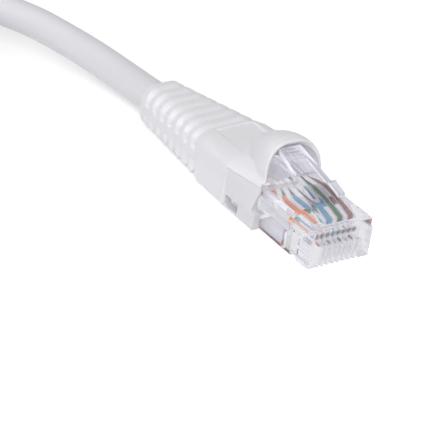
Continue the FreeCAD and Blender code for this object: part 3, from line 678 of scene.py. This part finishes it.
# %% [markdown]
# ## The boot's tail
# The tail lets the cable bend without a kink: seven grooves run over its upper half, eight slots
# round its lower half, and a plain spine between them keeps it from folding. Each groove slopes in
# towards the plug and ends at a steep wall. It could be cut with wedges, but a drawn sleeve is
# simpler: each ring is put on the boot's bent axis and drawn in by as much as its groove is deep
# there. The sleeve fills the straight grooves of the solid and brings its own.

# %% The tail's outline
FLAT, HEEL, SIDE, SHOULDER, TOP = 8, 10, 26, 18, 10
HALF_RING = FLAT + HEEL + SIDE + SHOULDER + TOP
TAIL_FRONT, TAIL_LENGTH = 31.0, 19.6
# Each measure is given at the tail's front, with its change up to the rear.
HALF_WIDTH, UNDERSIDE, UPPER_SIDE = (6.9, -2.55), (0.2, 0.1), (8.4, -0.5)
SHOULDER_WIDTH, SHOULDER_DEPTH, HEEL_RADIUS = (3.6, -0.8), (1.8, 1.0), (1.0, 1.8)


def tail_measure(measure, back):
    """The measure as it is this far back."""
    return measure[0] + measure[1] * ((back - TAIL_FRONT) / TAIL_LENGTH)


def tail_outline(back, step, inset):
    """Across and up in mm: steps run from the bottom's middle up one side to the top's middle."""
    half = tail_measure(HALF_WIDTH, back) - inset
    low, high = tail_measure(UNDERSIDE, back) + inset, tail_measure(UPPER_SIDE, back) - inset
    wide, deep, foot = (tail_measure(measure, back) - inset / 2 for measure in (
        SHOULDER_WIDTH, SHOULDER_DEPTH, HEEL_RADIUS))
    if step <= FLAT:
        return (half - foot) * step / FLAT, low
    step -= FLAT
    if step <= HEEL:
        turn = math.radians(90 * step / HEEL)
        return half - foot + foot * math.sin(turn), low + foot - foot * math.cos(turn)
    step -= HEEL
    if step <= SIDE:
        return half, low + foot + (high - deep - low - foot) * step / SIDE
    step -= SIDE
    if step <= SHOULDER:
        turn = math.radians(90 * step / SHOULDER)
        return half - wide + wide * math.cos(turn), high - deep + deep * math.sin(turn)
    step -= SHOULDER
    return (half - wide) * (1 - step / TOP), high


print("outline has", 2 * HALF_RING, "points")

# %% The tail's grooves, and the boot's bent axis
# Each: how many, where the first one's front is, and their pitch, width and depth.
RIBS = (7, 31.75, 2.65, 1.5, 0.85)
SLOTS = (8, 31.15, 2.32, 1.35, 1.35)
SPINE_TOP, SPINE_UNDER = 4.8, 3.5
RIB_FADE, SLOT_FADE = 0.6, 0.3
BEND_FROM, BEND_LENGTH, BEND_ANGLE = 22.0, 8.0, math.radians(5.5)


def sloped(back, grooves):
    """Depth of the grooves here: each is deepest at its front and runs out to its rear."""
    count, first, pitch, width, depth = grooves
    past_front = back - first
    if past_front < 0 or past_front > (count - 1) * pitch + width:
        return 0.0
    past_front -= pitch * int(past_front / pitch)
    return depth * max(0.0, 1 - past_front / width)


def groove_depth(back, up):
    """Ribs over the spine, slots under it, and nothing on the spine itself."""
    above = ramp(up, SPINE_TOP, RIB_FADE) ** 0.5
    below = ramp(SPINE_UNDER - up, 0.0, SLOT_FADE)
    return sloped(back, RIBS) * above + sloped(back, SLOTS) * below


def on_axis(back, across, up):
    """Place on the boot's bent axis, in metres."""
    angle = BEND_ANGLE * min(max(back - BEND_FROM, 0.0), BEND_LENGTH) / BEND_LENGTH
    radius = BEND_LENGTH / BEND_ANGLE
    rest = max(back - BEND_FROM - BEND_LENGTH, 0.0)
    x = -BEND_FROM - radius * math.sin(angle) - rest * math.cos(angle)
    y = -radius * (1 - math.cos(angle)) - rest * math.sin(angle)
    return Vector((x - across * math.sin(angle), y + across * math.cos(angle), up)) * MM


print(RIBS[0], "ribs' grooves and", SLOTS[0], "slots")

# %% Draw the sleeve
TAIL_FROM, TAIL_TO, TAIL_STEP = 31.05, 50.55, 0.15
TAIL_WALL, THINNEST = (1.5, -0.5), 0.1
rings = round((TAIL_TO - TAIL_FROM) / TAIL_STEP) + 1


def sleeve_place(ring, share):
    """The first rings run back along the outside, the rest return inside the wall."""
    side, step = math.copysign(1, share), round(2 * abs(share) * HALF_RING)
    inner = ring >= rings
    back = TAIL_FROM + TAIL_STEP * (2 * rings - 1 - ring if inner else ring)
    depth = tail_measure(TAIL_WALL, back)
    if not inner:
        up = tail_outline(back, step, 0.0)[1]
        depth = min(groove_depth(back, up), depth - THINNEST)
    across, up = tail_outline(back, step, depth)
    return on_axis(back, side * across, up)


sleeve = drawn(2 * HALF_RING, 2 * rings, sleeve_place, "bridge")
print("sleeve has", rings, "rings and", len(sleeve.data.polygons), "faces")

# %% [markdown]
# ## The boot
# Boot and hood are one soft moulding, and no edge of it is sharp: the mould's edges are broken,
# and soft PVC shrinks off its corners. Each edge could be bevelled, but at the ribs and slots
# they are too many and too close. So a copy of the boot's solid is joined to hood and sleeve, all
# three are remeshed as one skin of small squares, and that is smoothed, which rounds every edge by
# a tenth or two of a millimetre, also in the fold between hood and boot. A third of the faces is
# enough to carry that shape, so the rest is let go.

# %% Melt boot, hood and sleeve into one moulding
SKIN_SQUARE, SMOOTHINGS, FACES_KEPT = 0.12, 2, 0.35
boot = merged_copy("boot_a")
only(hood, sleeve, boot)
bpy.ops.object.join()
modify(boot, "REMESH", mode="VOXEL", voxel_size=SKIN_SQUARE * MM)
modify(boot, "SMOOTH", factor=0.5, iterations=SMOOTHINGS)
modify(boot, "DECIMATE", ratio=FACES_KEPT)
only(boot)
bpy.ops.object.shade_smooth()
print("boot is one skin of", len(boot.data.polygons), "faces")

# %% [markdown]
# ## The thin skirts
# At the plug the boot's sides are thin skirts, which reach from its front to a step behind the
# plug, under a line that rises a little to the rear. Their painted shade could be put on an image,
# but an attribute that marks their points is enough, and the boot's plastic already reads it.

# %% Mark the skirts and finish the boot
BOOT_FRONT, SKIRT_REAR = 14.1, 21.3
SKIRT_TOP_FRONT, SKIRT_TOP_REAR = 6.5, 6.85
# This mark tells the boot's plastic where to paint shade on the skirts.
skirt_shade_mark = boot.data.attributes.new("thin", "FLOAT", "POINT")
for point, mark in zip(boot.data.vertices, skirt_shade_mark.data):
    back = -point.co.x / MM
    rise = (SKIRT_TOP_REAR - SKIRT_TOP_FRONT) * (back - BOOT_FRONT) / (SKIRT_REAR - BOOT_FRONT)
    mark.value = float(back < SKIRT_REAR and point.co.z / MM < SKIRT_TOP_FRONT + rise)
finish_pair(boot, "moulded_boot", boot_pvc, ["boot", "latch_hood"])

# %% [markdown]
# ## The end of the jacket
# Inside the boot the cable runs on into the plug, where its jacket is cut off square and the
# plug's bar holds it. A cylinder with a hole would do, but the boot bends with the cable, so the
# tube is drawn along the same axis. Its knife-cut edge is a little rounded, and the twisted pairs
# inside show as a faint long wave in its surface.

# %% The jacket's profile, from its cut edge along the outside and back inside
JACKET_FROM, JACKET_TO, JACKET_WALL = 14.6, 44.3, 0.45
JACKET_RADIUS = CABLE_DIAMETER / 2
EDGE_LENGTH, EDGE_INSIDE = 0.3, 0.1
OUTER_STEPS, INNER_STEPS = 60, 20
CUT_EDGE = [(0.0, 2.74), (0.03, 2.88), (0.14, 2.97)]
outer, inner = JACKET_TO - JACKET_FROM - EDGE_LENGTH, JACKET_TO - JACKET_FROM - EDGE_INSIDE
jacket_profile = [(JACKET_FROM + back, radius) for back, radius in CUT_EDGE]
jacket_profile += [(JACKET_FROM + EDGE_LENGTH + k * outer / OUTER_STEPS, JACKET_RADIUS)
                   for k in range(OUTER_STEPS + 1)]
jacket_profile += [(JACKET_TO - k * inner / INNER_STEPS, JACKET_RADIUS - JACKET_WALL)
                   for k in range(INNER_STEPS + 1)]
print("profile has", len(jacket_profile), "points")

# %% Draw the jacket's end
CABLE_HEIGHT = 4.1
PAIRS, WAVE_DEPTH, PAIR_LAY = 4, 0.02, 18.0
JACKET_AROUND, SHARP_FROM = 64, math.radians(40)


def jacket_place(ring, share):
    """A point of the tube, drawn in by the wave where it lies on the outside."""
    back, radius = jacket_profile[ring]
    turn = math.tau * share
    if radius == JACKET_RADIUS:
        radius -= WAVE_DEPTH * (1 - math.cos(PAIRS * turn + math.tau * back / PAIR_LAY))
    return on_axis(back, radius * math.sin(turn), CABLE_HEIGHT - radius * math.cos(turn))


jacket = drawn(JACKET_AROUND, len(jacket_profile), jacket_place, "bridge")
bpy.ops.object.shade_smooth_by_angle(angle=SHARP_FROM)
finish_pair(jacket, "cut_jacket", jacket_pvc, ["jacket_end"])

# %% [markdown]
# ## The tie
# A woven nylon band with a brushed face holds the turns of the coil. It could be a plain ring, but
# a band lies round the turns as tightly as it can. So its line is the outline round the five turns
# that pass through it, and its free end laps over its other one.

# %% Where the turns pass through the tie
TIE_ANGLE, TIED_TURNS = math.radians(200.0), 5
tied_spots = []
for k in range(TIED_TURNS):
    spot = coil_point((TIE_ANGLE - COIL_START) / math.tau + k - TURNS_IN) - COIL_MIDDLE
    tied_spots.append((math.hypot(spot.x, spot.y) / OUTWARD, spot.z))
print("the tie holds", len(tied_spots), "turns")

# %% Draw the tie
TIE_RINGS, TIE_AROUND, TIE_REACH = 140, 20, 3.5
TIE_WIDTH, TIE_THICKNESS, FACE_FLATNESS, EDGE_FLATNESS = 5.0, 0.5, 0.25, 0.5
TIE_START, TIE_LAP = math.radians(-60.0), math.radians(35.0)
LAP_FROM, LAP_LENGTH, LAP_RISE = math.radians(285.0), math.radians(20.0), 0.52
AHEAD = Vector((math.cos(TIE_ANGLE), math.sin(TIE_ANGLE), 0))
ASIDE = Vector((-math.sin(TIE_ANGLE), math.cos(TIE_ANGLE), 0))


def tie_place(ring, share):
    """Round the turns once and a lap more, the lap lying on the band's first end."""
    along = ring / (TIE_RINGS - 1)
    heading = TIE_START + (math.tau + TIE_LAP) * along
    away = (math.cos(heading), math.sin(heading))
    near = max(tied_spots, key=lambda spot: spot[0] * away[0] + spot[1] * away[1])
    turn = math.tau * share
    across = squarer(math.sin(turn), FACE_FLATNESS) * TIE_WIDTH / 2
    through = squarer(math.cos(turn), EDGE_FLATNESS) * TIE_THICKNESS / 2
    reach = TIE_REACH + LAP_RISE * softened(ramp(heading, LAP_FROM, LAP_LENGTH)) + through
    radius, height = near[0] + reach * away[0], near[1] + reach * away[1]
    return (COIL_MIDDLE + AHEAD * radius + ASIDE * across + Vector((0, 0, height))) * MM


tie = drawn(TIE_AROUND, TIE_RINGS, tie_place, "caps")
bpy.ops.object.shade_smooth_by_angle(angle=SHARP_FROM)
tie.name = "woven_tie"
tie.data.materials.append(tie_nylon)
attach(tie, "cable")
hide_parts("coil_tie")
print(tie.name, len(tie.data.polygons), "faces")

# %% [markdown]
# ## What the cord is
# The cord is soft, and in use it lies differently each time. Its length and thickness, the place
# where it leaves the boot, how stiff it is and how it lies here could be read off its mesh only
# with trouble. Here the pieces that hang on its far end are listed.

gone = {"boot_b", "latch_hood_b", "cable_stretch_b", "jacket_end_b"}
on_the_cord = [n for n in solids if n.endswith("_b") and n not in gone]
on_the_cord += ["woven_tie", "moulded_boot_b", "cut_jacket_b"]
print("the cord carries", len(on_the_cord), "pieces")

# %% [markdown]
# ## Close the scene
# The last call updates the view layer and closes the scene.

# %% Close the scene
bpy.context.view_layer.update()
